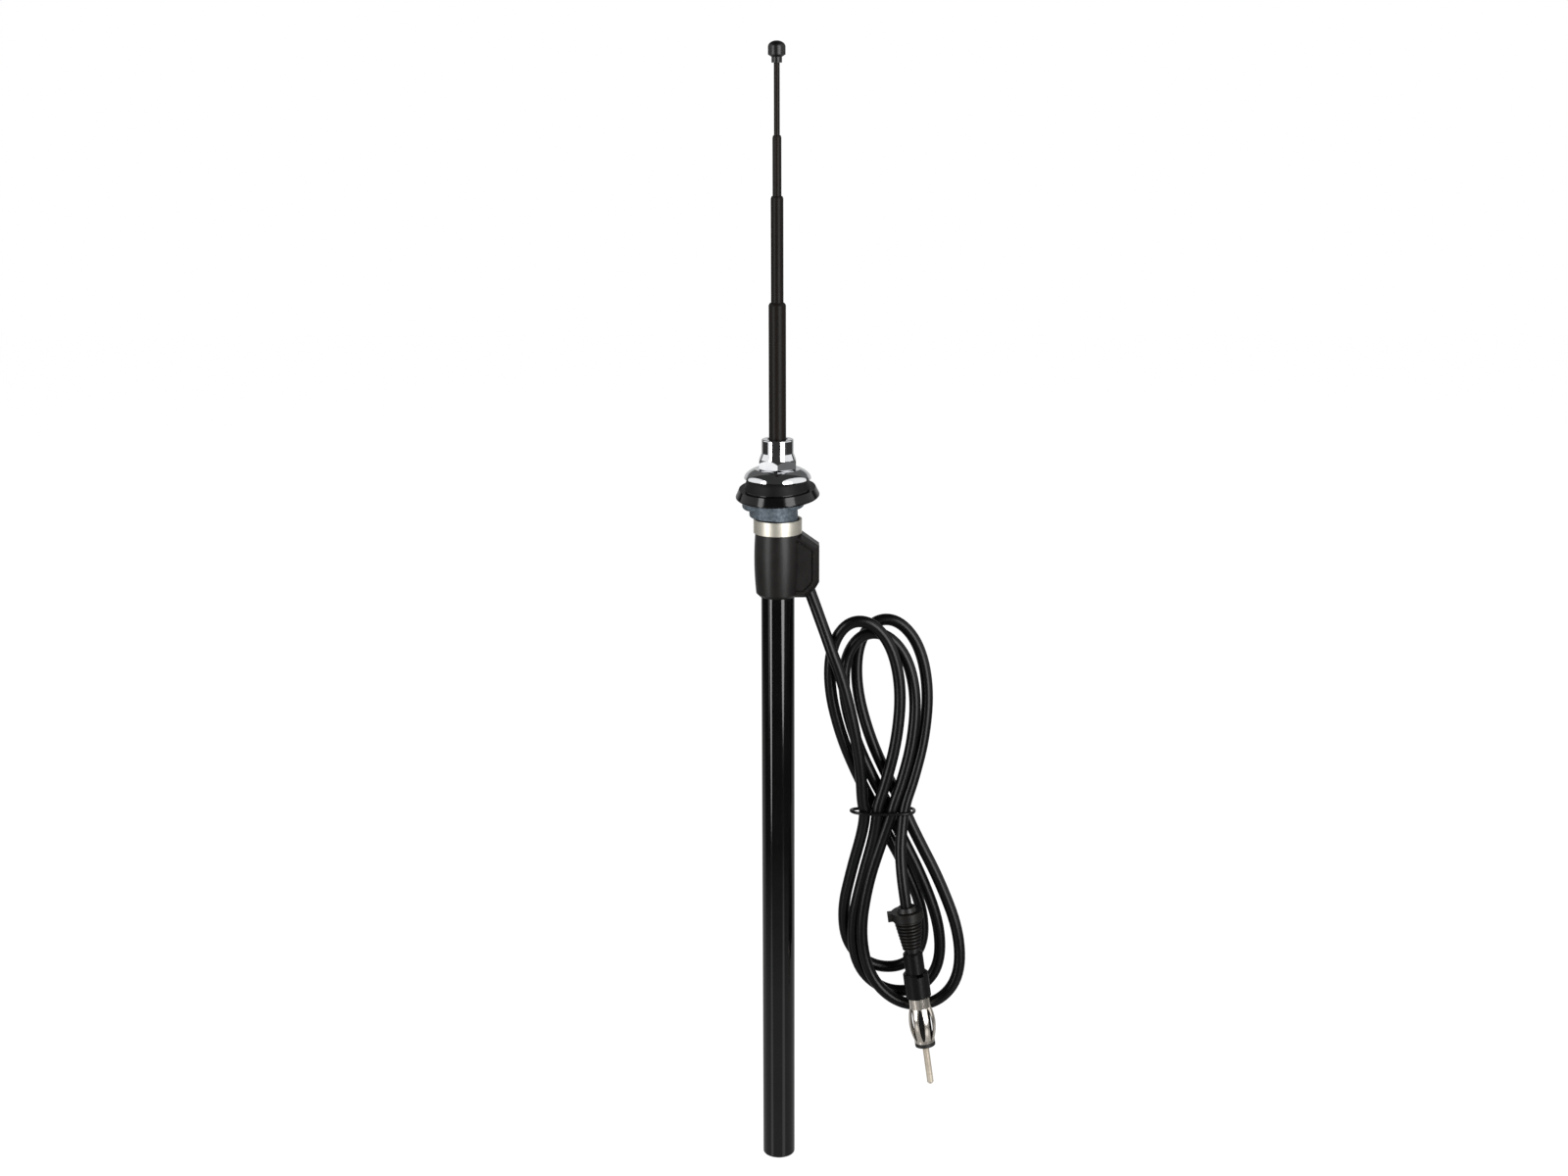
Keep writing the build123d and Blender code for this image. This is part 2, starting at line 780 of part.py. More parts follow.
# Wire tie round the waist of the hank
waist_right, waist_left = hank_outline[0][0], hank_outline[5][0]
tie_width = waist_right - waist_left + tie_diameter + 2 * tie_room
tie_depth = 2 * hank_half_depth + tie_diameter + 2 * tie_room
tie_middle = (waist_right + waist_left) / 2
with BuildPart() as hank_tie:
    with BuildLine(Plane.XY.offset(tie_height)) as tie_path:
        FilletPolyline(
            (tie_middle - tie_width / 2, -tie_depth / 2),
            (tie_middle + tie_width / 2, -tie_depth / 2),
            (tie_middle + tie_width / 2, tie_depth / 2),
            (tie_middle - tie_width / 2, tie_depth / 2),
            radius=tie_corner,
            close=True,
        )
    tie_loop = tie_path.wires()[0]
    with BuildSketch(Plane(tie_loop @ 0, z_dir=tie_loop % 0)):
        Circle(tie_diameter / 2)
    sweep()
finish(hank_tie, "hank_tie")

# Ribbed grommet on the lead
flange_radius = grommet_flange_diameter / 2
neck_start = grommet_length - grommet_neck
rib_pitch = (neck_start - grommet_flange) / grommet_ribs
cone_points = []
for rib in range(grommet_ribs):
    rib_start = grommet_flange + rib * rib_pitch
    share = rib / (grommet_ribs - 1)
    rib_radius = (grommet_top_diameter + share * (grommet_end_diameter - grommet_top_diameter)) / 2
    cone_points += [
        (rib_radius - grommet_groove, rib_start),
        (rib_radius, rib_start + rib_pitch * 0.35),
        (rib_radius, rib_start + rib_pitch * 0.75),
    ]
with BuildPart() as cable_grommet:
    with BuildSketch(plug_section):
        with BuildLine():
            Polyline(
                (cable_radius + fit_gap, -grommet_hub),
                (grommet_hub_diameter / 2 - grommet_hub_taper, -grommet_hub),
                (grommet_hub_diameter / 2, 0),
                (flange_radius, 0),
                (flange_radius, grommet_flange),
                *cone_points,
                (grommet_neck_diameter / 2, neck_start),
                (grommet_neck_diameter / 2, grommet_length),
                (cable_radius + fit_gap, grommet_length),
                close=True,
            )
        make_face()
    revolve(axis=plug_axis)
    with BuildSketch(plug_section):
        with Locations((-grommet_lug_reach, 0)):
            Rectangle(grommet_lug_reach - flange_radius * 0.8, grommet_flange, align=(Align.MIN, Align.MIN))
    extrude(amount=grommet_lug_width / 2, both=True)
finish(cable_grommet, "cable_grommet")

# Moulded boot in two steps
boot_step = boot_start + boot_top_length
boot_end = boot_step + boot_length
with BuildPart() as plug_boot:
    with BuildSketch(plug_section):
        with BuildLine():
            Polyline(
                (0, boot_start + tail_depth),
                (cable_radius + fit_gap, boot_start + tail_depth),
                (cable_radius + fit_gap, boot_start),
                (boot_top_diameter / 2 - boot_edge, boot_start),
                (boot_top_diameter / 2, boot_start + boot_edge),
                (boot_top_diameter / 2, boot_step),
                (boot_diameter / 2 - boot_edge, boot_step),
                (boot_diameter / 2, boot_step + boot_edge),
                (boot_diameter / 2, boot_end),
                (shell_barrel_diameter / 2 + fit_gap, boot_end),
                (shell_barrel_diameter / 2 + fit_gap, boot_end - boot_socket),
                (0, boot_end - boot_socket),
                close=True,
            )
        make_face()
    revolve(axis=plug_axis)
    with BuildSketch(plug_side(boot_step, boot_notch_turn)):
        Rectangle(boot_notch_depth, boot_notch_width, align=(Align.MIN, Align.CENTER))
    extrude(amount=boot_diameter, mode=Mode.SUBTRACT)
finish(plug_boot, "plug_boot")

# Slotted spring shell
barrel_radius = shell_barrel_diameter / 2
belly_radius = shell_belly_diameter / 2
mouth_radius = shell_mouth_diameter / 2
shell_start = boot_end - boot_socket
belly_start = boot_end + shell_barrel
belly_end = belly_start + shell_belly
belly_middle = (belly_start + belly_end) / 2
shell_end = belly_end + shell_mouth
pin_seat = shell_end + insulator_face
with BuildPart() as plug_shell:
    with BuildSketch(plug_section):
        with BuildLine():
            outside = ThreePointArc(
                (barrel_radius, belly_start),
                (belly_radius, belly_middle),
                (mouth_radius, belly_end),
            )
            inside = ThreePointArc(
                (barrel_radius - shell_wall, belly_start),
                (belly_radius - shell_wall, belly_middle),
                (mouth_radius - shell_wall, belly_end),
            )
            Polyline(
                outside @ 0,
                (barrel_radius, shell_start),
                (barrel_radius - shell_wall, shell_start),
                inside @ 0,
            )
            Polyline(
                outside @ 1,
                (mouth_radius, shell_end),
                (mouth_radius - shell_wall, shell_end),
                inside @ 1,
            )
        make_face()
    revolve(axis=plug_axis)
    slot_turns = [shell_slot_turn + slot * 360 / shell_slots for slot in range(shell_slots)]
    with BuildSketch(*[plug_side(belly_middle, turn) for turn in slot_turns]):
        Ellipse(shell_belly / 2, shell_slot_width / 2)
    extrude(amount=shell_belly_diameter, mode=Mode.SUBTRACT)
finish(plug_shell, "plug_shell")

pin_radius = pin_diameter / 2
tail_radius = pin_tail_diameter / 2
plug_insulator = turned(
    [
        (tail_radius + fit_gap, shell_end - insulator_depth),
        (mouth_radius - shell_wall - fit_gap, shell_end - insulator_depth),
        (mouth_radius - shell_wall - fit_gap, shell_end),
        (mouth_radius, shell_end),
        (mouth_radius, pin_seat),
        (tail_radius + fit_gap, pin_seat),
    ],
    plug_section,
    plug_axis,
)
finish(plug_insulator, "plug_insulator")

pin_start = shell_end - pin_tail
pin_end = pin_seat + pin_out
plug_pin = turned(
    [
        (0, pin_start),
        (tail_radius, pin_start),
        (tail_radius, pin_seat),
        (pin_radius, pin_seat),
        (pin_radius, pin_end - pin_radius * 0.5),
        (pin_radius * 0.6, pin_end),
        (0, pin_end),
    ],
    plug_section,
    plug_axis,
)
finish(plug_pin, "plug_pin")

# How far each section slides from where it is drawn
for name, travel_in, travel_out in (
    (
        "tip rod",
        tip_rod_out - stop_gap,
        tube_2_top - swage_length - tube_2_wall - (rod_bottom - slider_floor + slider_length) - stop_gap,
    ),
    (
        "tube 2",
        tube_2_out - nested_step,
        tube_3_top - swage_length - tube_3_wall - (tube_2_bottom - slider_floor + slider_length) - stop_gap,
    ),
    (
        "tube 3",
        tube_3_out - nested_step,
        tube_4_top - swage_length - tube_4_wall - (tube_3_bottom - slider_floor + slider_length) - stop_gap,
    ),
    (
        "tube 4",
        tube_4_out + button_height + stop_gap + 2 * nested_step,
        feed_bottom - (tube_4_bottom - foot_floor + foot_length) - stop_gap,
    ),
):
    print(name, "slides in", round(travel_in, 2), "and out", round(travel_out, 2))
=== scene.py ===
import math

import bpy
from mathutils import Matrix, Vector


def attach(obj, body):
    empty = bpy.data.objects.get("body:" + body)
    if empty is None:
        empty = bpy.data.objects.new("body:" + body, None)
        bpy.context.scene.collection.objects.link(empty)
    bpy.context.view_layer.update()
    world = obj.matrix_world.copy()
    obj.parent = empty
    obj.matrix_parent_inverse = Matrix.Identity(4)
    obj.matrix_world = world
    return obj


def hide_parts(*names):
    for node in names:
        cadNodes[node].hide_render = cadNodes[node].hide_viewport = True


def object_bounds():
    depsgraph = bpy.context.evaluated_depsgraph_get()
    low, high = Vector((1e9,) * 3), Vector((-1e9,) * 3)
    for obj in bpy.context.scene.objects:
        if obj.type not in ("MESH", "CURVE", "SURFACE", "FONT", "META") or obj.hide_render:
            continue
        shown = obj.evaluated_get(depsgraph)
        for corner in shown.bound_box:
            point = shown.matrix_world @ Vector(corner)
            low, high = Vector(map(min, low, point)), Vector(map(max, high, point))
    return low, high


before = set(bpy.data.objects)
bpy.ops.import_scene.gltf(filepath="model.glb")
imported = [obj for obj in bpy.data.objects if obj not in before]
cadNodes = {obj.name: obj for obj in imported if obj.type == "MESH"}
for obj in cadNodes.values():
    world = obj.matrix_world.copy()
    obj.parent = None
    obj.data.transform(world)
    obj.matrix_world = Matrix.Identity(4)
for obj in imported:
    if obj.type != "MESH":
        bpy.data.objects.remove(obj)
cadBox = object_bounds()
scene = bpy.context.scene
scene.view_settings.view_transform = "Standard"
mm = 0.001


def inMetres(point):
    return Vector(point) * mm


# camera: a long-lens studio view from a little above the nut
cameraView = {
    "lens": 47.25,  # mm, on a 36 mm sensor
    "sensor": 36.0,
    "place": (2.58, -838.0, 169.8),  # mm
    "lookDown": 14.0,  # degrees
    "roll": -0.08,
}


def setCamera(view):
    lens = bpy.data.cameras.new("photoCamera")
    lens.lens = view["lens"]
    lens.sensor_width = view["sensor"]
    lens.sensor_fit = "HORIZONTAL"
    camera = bpy.data.objects.new("photoCamera", lens)
    scene.collection.objects.link(camera)
    tilt = Matrix.Rotation(math.radians(90.0 - view["lookDown"]), 4, "X")
    roll = Matrix.Rotation(math.radians(view["roll"]), 4, "Z")
    camera.matrix_world = Matrix.Translation(inMetres(view["place"])) @ tilt @ roll
    scene.camera = camera


setCamera(cameraView)
print("camera set")


# aerial lead: out of the sleeve, three loose turns through the tie, down to the plug; mm
aerialLead = {
    "diameter": 5.0,
    "length": 1.30,  # m, from the sleeve to the plug
    "exit": (14.2, 0.0, -42.5),
    "fromSleeve": [
        (11.8, 0.0, -36.1), (14.9, 0.0, -44.5), (17.7, -1.6, -52.2), (20.4, -3.5, -59.4),
        (22.9, -5.0, -66.6), (25.6, -5.3, -73.5), (28.8, -5.5, -84.3), (32.3, -5.1, -99.6),
        (35.3, -3.9, -117.3), (36.1, -2.9, -133.9),
    ],
    "toPlug": [
        (53.2, -4.4, -143.0), (52.4, -6.7, -153.5), (53.1, -8.9, -164.5), (54.7, -10.7, -175.7),
        (58.7, -11.8, -203.4),
    ],
    "waistHeight": -136.0,  # where the tie gathers the strands
    "stations": 12,  # control points round one end of a turn
    "across": 6,  # Blender's bevel steps, for the round section
}
# where the strands pass through the tie, in order along the lead: x and y
tieCrossings = [(37.2, -2.8), (40.7, 4.2), (42.3, -4.1), (47.3, 2.7), (48.9, -3.9), (53.7, 3.2), (53.6, -3.5)]
# the end of a turn between two crossings: x and half width of its far part, height and depth of its far end,
# and how straight it leaves and comes back
hankEnds = [
    {"middle": 48.9, "half": 18.3, "far": -214.7, "depth": 5.9, "straight": (2.0, 1.5)},
    {"middle": 34.3, "half": 15.3, "far": -52.1, "depth": -0.6, "straight": (1.0, 1.0)},
    {"middle": 54.3, "half": 20.0, "far": -224.0, "depth": 0.6, "straight": (2.0, 1.5)},
    {"middle": 40.6, "half": 15.5, "far": -58.6, "depth": 4.2, "straight": (1.0, 1.0)},
    {"middle": 60.9, "half": 22.0, "far": -228.3, "depth": -4.6, "straight": (1.3, 1.5)},
    {"middle": 46.0, "half": 15.6, "far": -53.9, "depth": 9.5, "straight": (1.0, 1.0)},
]


def dropSwing(angle, straight):
    # to the left and then the right on the way round a drop, 1 where it is widest
    widest = (straight + 1.0) / (straight + 2.0)
    peak = 2.0 * widest ** ((straight + 1.0) / 2.0) * math.sqrt(1.0 - widest)
    return -math.sin(angle) * math.sin(angle / 2.0) ** straight / peak


def turnEnd(end, leave, back, lead):
    # a drop: narrow at the tied waist, round at its far end
    points = []
    for step in range(lead["stations"]):
        part = (step + 0.5) / lead["stations"]
        angle = 2.0 * math.pi * part
        out = (1.0 - math.cos(angle)) / 2.0
        swing = dropSwing(angle, end["straight"][0 if part < 0.5 else 1])
        waistX, waistY = (leave[axis] * (1.0 - part) + back[axis] * part for axis in (0, 1))
        x = waistX * (1.0 - out) + end["middle"] * out + end["half"] * swing
        y = waistY * (1.0 - out) + end["depth"] * out
        z = lead["waistHeight"] * (1.0 - out) + end["far"] * out
        points.append((x, y, z))
    return points


wireCurve = {
    "order": 3,  # keeps the curve close to its points
    "steps": 8,  # from one point to the next
}


def roundWire(name, points, diameter, across):
    wire = bpy.data.curves.new(name, "CURVE")
    wire.dimensions = "3D"
    wire.resolution_u = wireCurve["steps"]
    wire.bevel_depth = 1.0  # the points carry the radius, which also keeps the curve's box true
    wire.bevel_resolution = across
    wire.use_fill_caps = True
    spline = wire.splines.new("NURBS")
    spline.points.add(len(points) - 1)
    for control, point in zip(spline.points, points):
        control.co = (*inMetres(point), 1.0)
        control.radius = diameter / 2.0 * mm
    spline.order_u = wireCurve["order"]
    spline.use_endpoint_u = True
    piece = bpy.data.objects.new(name, wire)
    scene.collection.objects.link(piece)
    return piece


leadPoints = list(aerialLead["fromSleeve"])
for end, leave, back in zip(hankEnds, tieCrossings, tieCrossings[1:]):
    leadPoints += turnEnd(end, leave, back, aerialLead)
leadPoints += aerialLead["toPlug"]
leadCable = roundWire("aerial_lead", leadPoints, aerialLead["diameter"], aerialLead["across"])
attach(leadCable, "head")
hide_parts("cable_lead", "cable_hank", "cable_tail")

# wire tie round the waist, a little loose at its left end, its two ends twisted together behind; mm
wireTie = {
    "diameter": 1.4,
    "loop": [
        (46.0, 6.9, -139.4), (38.5, 6.3, -139.3), (33.2, 4.2, -138.8), (31.2, 0.6, -138.0),
        (31.6, -2.9, -137.6), (34.6, -5.3, -137.5), (39.0, -6.3, -137.5), (44.0, -6.8, -137.4),
        (50.0, -6.8, -137.4), (54.6, -6.6, -137.4), (57.4, -5.0, -137.6), (58.7, -1.0, -138.0),
        (58.6, 3.4, -138.6), (56.0, 6.6, -139.2), (50.0, 7.0, -139.5), (46.4, 6.9, -139.6),
    ],
    "across": 3,
    "twistStart": (46.2, 7.3, -139.5),
    "twistTurns": 2.5,
    "twistSteps": 16,
    "twistLength": 9.0,
    "twistBack": 0.6,  # how far the twist leans back on its way down
    "twistRadius": 0.52,  # diameters from the twist's middle to each wire
}


def twistedEnds(tie):
    # the two ends wind round each other down the back of the bundle
    steps = tie["twistSteps"]
    radius = tie["diameter"] * tie["twistRadius"]
    start = tie["twistStart"]
    ends = []
    for side in (0.0, math.pi):
        points = []
        for step in range(steps + 1):
            part = step / steps
            angle = side + tie["twistTurns"] * 2.0 * math.pi * part
            x = start[0] - radius * math.cos(angle)
            y = start[1] + tie["twistBack"] * part - radius * math.sin(angle)
            points.append((x, y, start[2] - tie["twistLength"] * part))
        ends.append(points)
    return ends


firstEnd, secondEnd = twistedEnds(wireTie)
tiePoints = secondEnd[::-1] + wireTie["loop"][::-1] + firstEnd
hankTie = roundWire("wire_tie", tiePoints, wireTie["diameter"], wireTie["across"])
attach(hankTie, "head")
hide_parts("hank_tie")
print("lead laid:", len(leadPoints), "control points")


def linear(colour):
    # sRGB hex to the linear values that the shader takes
    channels = [int(colour[at:at + 2], 16) / 255.0 for at in (1, 3, 5)]
    return tuple(c / 12.92 if c <= 0.04045 else ((c + 0.055) / 1.055) ** 2.4 for c in channels) + (1.0,)


def addNode(tree, kind, settings=None, links=None):
    # settings are properties or input values by name; links are input names and the sockets that feed them
    node = tree.nodes.new(kind)
    for key, value in (settings or {}).items():
        if isinstance(key, str) and hasattr(node, key):
            setattr(node, key, value)
        else:
            node.inputs[key].default_value = value
    for key, socket in (links or {}).items():
        tree.links.new(socket, node.inputs[key])
    return node


def startFinish(name, shader):
    finish = bpy.data.materials.new(name)
    finish.use_nodes = True
    tree = finish.node_tree
    tree.nodes.clear()
    output = addNode(tree, "ShaderNodeOutputMaterial")
    principled = addNode(tree, "ShaderNodeBsdfPrincipled", shader)
    tree.links.new(principled.outputs["BSDF"], output.inputs["Surface"])
    place = addNode(tree, "ShaderNodeTexCoord").outputs["Object"]
    return finish, tree, principled, place


def rampColours(ramp, stops):
    # stops are a position and a colour for each end of the ramp
    for element, (position, colour) in zip(ramp.elements, stops):
        element.position = position
        element.color = linear(colour)


def dress(finish, *names):
    for name in names:
        for held in cadNodes[name].material_slots:
            held.material = finish


surfaceGrain = {
    "ior": 1.5,  # of paint, rubber and plastic; also the default, which the metals keep
    "cloudDetail": 4.0,
    "cloudStops": (0.32, 0.68),  # where the noise is all dark and all pale
    "grainDetail": 3.0,
    "grainDepth": 0.2,  # share of the grain's size
    "polishEdge": 0.1,  # mm, half the height over which a polish fades
}


def grainedFinish(name, look):
    # a surface with a cloudy colour, uneven gloss and a fine relief, each at its own real size in mm
    shader = {"Metallic": look.get("metallic", 0.0), "IOR": surfaceGrain["ior"]}
    if "Specular IOR Level" in look:
        shader["Specular IOR Level"] = look["Specular IOR Level"]
    finish, tree, principled, place = startFinish(name, shader)
    stretch = addNode(tree, "ShaderNodeMapping", {"Scale": look.get("stretch", (1.0, 1.0, 1.0))},
                      {"Vector": place})
    cloud = addNode(tree, "ShaderNodeTexNoise",
                    {"Scale": 1.0 / (look["cloudSize"] * mm), "Detail": surfaceGrain["cloudDetail"]},
                    {"Vector": stretch.outputs[0]})
    tint = addNode(tree, "ShaderNodeValToRGB", None, {"Fac": cloud.outputs["Fac"]})
    rampColours(tint.color_ramp, zip(surfaceGrain["cloudStops"], (look["dark"], look["pale"])))
    grain = addNode(tree, "ShaderNodeTexNoise",
                    {"Scale": 1.0 / (look["grainSize"] * mm), "Detail": surfaceGrain["grainDetail"]},
                    {"Vector": stretch.outputs[0]})
    gloss = addNode(tree, "ShaderNodeMapRange", {"To Min": look["gloss"][0], "To Max": look["gloss"][1]},
                    {"Value": grain.outputs["Fac"]})
    depth = look["grainSize"] * mm * surfaceGrain["grainDepth"]
    relief = addNode(tree, "ShaderNodeBump", {"Strength": look["relief"], "Distance": depth},
                     {"Height": grain.outputs["Fac"]})
    roughness = gloss.outputs["Result"]
    if "polish" in look:
        # smoother and shinier up to a height along its own axis
        polish = look["polish"]
        edge = surfaceGrain["polishEdge"]
        height = addNode(tree, "ShaderNodeVectorMath", {"operation": "DOT_PRODUCT", 1: polish["up"]},
                         {0: place})
        step = {"From Min": (polish["height"] - edge) * mm, "From Max": (polish["height"] + edge) * mm}
        smoother = addNode(tree, "ShaderNodeMapRange", {**step, "To Min": polish["share"]},
                           {"Value": height.outputs["Value"]})
        roughness = addNode(tree, "ShaderNodeMath", {"operation": "MULTIPLY"},
                            {0: roughness, 1: smoother.outputs["Result"]}).outputs[0]
        shine = addNode(tree, "ShaderNodeMapRange", {**step, "To Min": polish["shine"],
                                                     "To Max": look["Specular IOR Level"]},
                        {"Value": height.outputs["Value"]})
        tree.links.new(shine.outputs["Result"], principled.inputs["Specular IOR Level"])
    tree.links.new(tint.outputs["Color"], principled.inputs["Base Color"])
    tree.links.new(roughness, principled.inputs["Roughness"])
    tree.links.new(relief.outputs["Normal"], principled.inputs["Normal"])
    return finish


# stoved black enamel on drawn steel tube: satin, a little brown, with the tube's draw lines under it
mastEnamel = {
    "dark": "#120f0d", "pale": "#1a1613", "cloudSize": 9.0, "grainSize": 0.9, "gloss": (0.36, 0.40),
    "relief": 0.02, "stretch": (1.0, 1.0, 0.12), "Specular IOR Level": 0.10,
}
dress(grainedFinish("stovedEnamelOnDrawnSteel", mastEnamel), "tip_rod", "mast_tube_2", "mast_tube_3",
      "mast_tube_4")

# moulded acetal button: even satin black with a faint mould grain
tipAcetal = {
    "dark": "#0a0a0a", "pale": "#121110", "cloudSize": 4.0, "grainSize": 0.8, "gloss": (0.28, 0.38),
    "relief": 0.15, "Specular IOR Level": 0.35,
}
dress(grainedFinish("mouldedAcetal", tipAcetal), "tip_button")

# bright chrome over polished brass: mirror with a very slight polishing wave
clampChrome = {
    "dark": "#d9dadd", "pale": "#e9eaec", "cloudSize": 8.0, "grainSize": 5.0, "gloss": (0.03, 0.06),
    "relief": 0.03, "metallic": 1.0,
}
dress(grainedFinish("brightChromePlate", clampChrome), "clamp_nut", "dome")

# moulded pad of filled polyamide: matt cone, flange glossier
padMoulding = {
    "dark": "#070707", "pale": "#0d0d0d", "cloudSize": 6.0, "grainSize": 0.9, "gloss": (0.46, 0.58),
    "relief": 0.08, "Specular IOR Level": 0.14,
    "polish": {"up": (-0.038, -0.096, 0.995), "height": 4.1, "share": 0.22, "shine": 0.27},
}
dress(grainedFinish("mouldedPolyamide", padMoulding), "base_pad")

# die-cast zinc, left as cast: cold grey, speckled, grainy
clawZinc = {
    "dark": "#454e57", "pale": "#646d75", "cloudSize": 1.3, "grainSize": 1.1, "gloss": (0.42, 0.62),
    "relief": 0.6, "metallic": 0.6,
}
dress(grainedFinish("dieCastZinc", clawZinc), "claw")

# bright zinc plate on a drawn steel cup: warm silver with turning lines round it
cupPlate = {
    "dark": "#b9b5a9", "pale": "#ccc8bc", "cloudSize": 7.0, "grainSize": 1.0, "gloss": (0.36, 0.46),
    "relief": 0.12, "metallic": 0.84, "stretch": (0.1, 0.1, 1.0),
}
dress(grainedFinish("zincPlatedDrawnSteel", cupPlate), "seat_cup", "stem", "contact_spring")

# stoved gloss enamel on the housing tube: deep black, wet-looking
tubeGloss = {
    "dark": "#050505", "pale": "#080808", "cloudSize": 20.0, "grainSize": 6.0, "gloss": (0.06, 0.09),
    "relief": 0.01,
}
dress(grainedFinish("glossEnamelOnSteel", tubeGloss), "housing_tube")

# moulded rubber sleeve and grommet: dark grey-black, soft sheen, fine mould grain
sleeveRubber = {
    "dark": "#0b0908", "pale": "#131110", "cloudSize": 7.0, "grainSize": 0.9, "gloss": (0.34, 0.44),
    "relief": 0.15, "Specular IOR Level": 0.30,
}
dress(grainedFinish("mouldedRubber", sleeveRubber), "cable_sleeve", "cable_grommet")

# extruded PVC lead: satin black with a faint drag along it
leadPvc = {
    "dark": "#050506", "pale": "#090909", "cloudSize": 10.0, "grainSize": 0.9, "gloss": (0.26, 0.34),
    "relief": 0.08, "Specular IOR Level": 0.22,
}
leadCable.data.materials.append(grainedFinish("extrudedPvc", leadPvc))

# moulded PVC boot: as black as the lead, with more grain
bootPvc = dict(leadPvc, gloss=(0.28, 0.38), relief=0.15)
dress(grainedFinish("mouldedPvc", bootPvc), "plug_boot")

# PVC-coated tie wire: black like the lead, a little glossier
tiePvc = dict(leadPvc, gloss=(0.22, 0.34), cloudSize=5.0)
hankTie.data.materials.append(grainedFinish("coatedTieWire", tiePvc))

# nickel plate on pressed brass: warm mirror, a little hazed
shellNickel = {
    "dark": "#d6cec3", "pale": "#e8e1d7", "cloudSize": 5.0, "grainSize": 1.0, "gloss": (0.12, 0.20),
    "relief": 0.03, "metallic": 0.9,
}
dress(grainedFinish("nickelOnPressedBrass", shellNickel), "plug_shell")

# the pin is turned and its plate is duller
pinNickel = dict(shellNickel, dark="#bdb2a2", pale="#d2c8b8", gloss=(0.36, 0.48), metallic=0.6,
                 stretch=(0.2, 0.2, 1.0))
dress(grainedFinish("nickelOnTurnedBrass", pinNickel), "plug_pin")

# turned brass inside the head and on the mast's feet
innerBrass = {
    "dark": "#a8843f", "pale": "#c29c52", "cloudSize": 5.0, "grainSize": 1.0, "gloss": (0.24, 0.36),
    "relief": 0.1, "metallic": 1.0, "stretch": (0.2, 0.2, 1.0),
}
dress(grainedFinish("turnedBrass", innerBrass), "tip_slider", "slider_2", "slider_3", "mast_foot")

# moulded nylon insulators: waxy black
innerNylon = {
    "dark": "#0c0c0c", "pale": "#151413", "cloudSize": 5.0, "grainSize": 0.8, "gloss": (0.38, 0.50),
    "relief": 0.15,
}
dress(grainedFinish("mouldedNylon", innerNylon), "guide_bush", "feed_insulator", "tube_liner", "end_plug",
      "plug_insulator")
print("finishes on", len(cadNodes), "nodes")


# studio: two tall soft boxes in front, left and right, in a dark room; bright metal also sees umbrellas at
# the sides, small cards in front, pools of light low down, and pale sails
studio = {
    "distance": 1.1,  # m from the mast
    "boxes": [
        {"name": "leftBox", "turn": -49.5, "width": 0.34, "height": 1.40, "middle": 0.14, "watts": 8.4},
        {"name": "rightBox", "turn": 35.0, "width": 0.66, "height": 1.28, "middle": 0.18, "watts": 13.5},
    ],
    "skyLight": 0.28,  # soft light from all round
    "roomGrey": 0.04,
    # round patches: degrees round from the front, up, from middle to edge, and the soft edge's width; no
    # light comes from a direction whose z is under the foot
    "rounds": [
        # umbrellas, for the dome's sides
        {"turn": -82.0, "up": 8.0, "spread": 38.0, "soft": 3.5, "foot": -0.14, "grey": 1.0},
        {"turn": 68.0, "up": 12.0, "spread": 48.0, "soft": 3.5, "foot": -0.14, "grey": 1.0},
        # cards, for the nut's two front faces
        {"turn": -64.0, "up": -10.0, "spread": 6.0, "soft": 3.0, "foot": -1.2, "grey": 1.12},
        {"turn": 56.0, "up": -10.0, "spread": 6.0, "soft": 3.0, "foot": -1.2, "grey": 0.17},
        # pools, for the lower half of the housing tube
        {"turn": -51.0, "up": -31.0, "spread": 7.4, "soft": 2.4, "foot": -1.2, "grey": 1.0},
        {"turn": 36.0, "up": -32.0, "spread": 8.0, "soft": 4.0, "foot": -1.2, "grey": 1.0},
    ],
    "footEdge": 0.06,
    # ranges of a direction's y and z, with the soft edge of each and the grey that is seen there
    "sails": [
        {"Y": (0.36, 1.2), "Z": (0.20, 1.2), "soft": 0.12, "grey": 0.13},  # high at the back
        {"Y": (0.58, 1.2), "Z": (-0.5, 0.46), "soft": 0.26, "grey": 0.6},  # straight behind
        {"Y": (0.15, 1.2), "Z": (-1.2, -0.24), "soft": 0.14, "grey": 0.4},  # low at the back
        {"Y": (-1.2, 1.2), "Z": (-1.2, -0.34), "soft": 0.10, "grey": 0.34},  # all round, underneath
    ],
    "floorSize": 6.0,
    "floorColour": "#f4f4f4",
    "floorRoughness": 0.9,
    "floorShare": 0.8,  # of what the camera sees of the floor is an even white, the rest takes the shadow
    "floorGlow": 1.18,
}


def placeSoftBox(box, distance):
    light = bpy.data.lights.new(box["name"], "AREA")
    light.shape = "ELLIPSE"
    light.size = box["width"]
    light.size_y = box["height"]
    light.energy = box["watts"]
    turn = math.radians(box["turn"])
    place = Vector((math.sin(turn) * distance, -math.cos(turn) * distance, box["middle"]))
    lamp = bpy.data.objects.new(box["name"], light)
    scene.collection.objects.link(lamp)
    aim = Vector((0.0, 0.0, box["middle"])) - place
    lamp.matrix_world = Matrix.Translation(place) @ aim.to_track_quat("-Z", "Y").to_matrix().to_4x4()


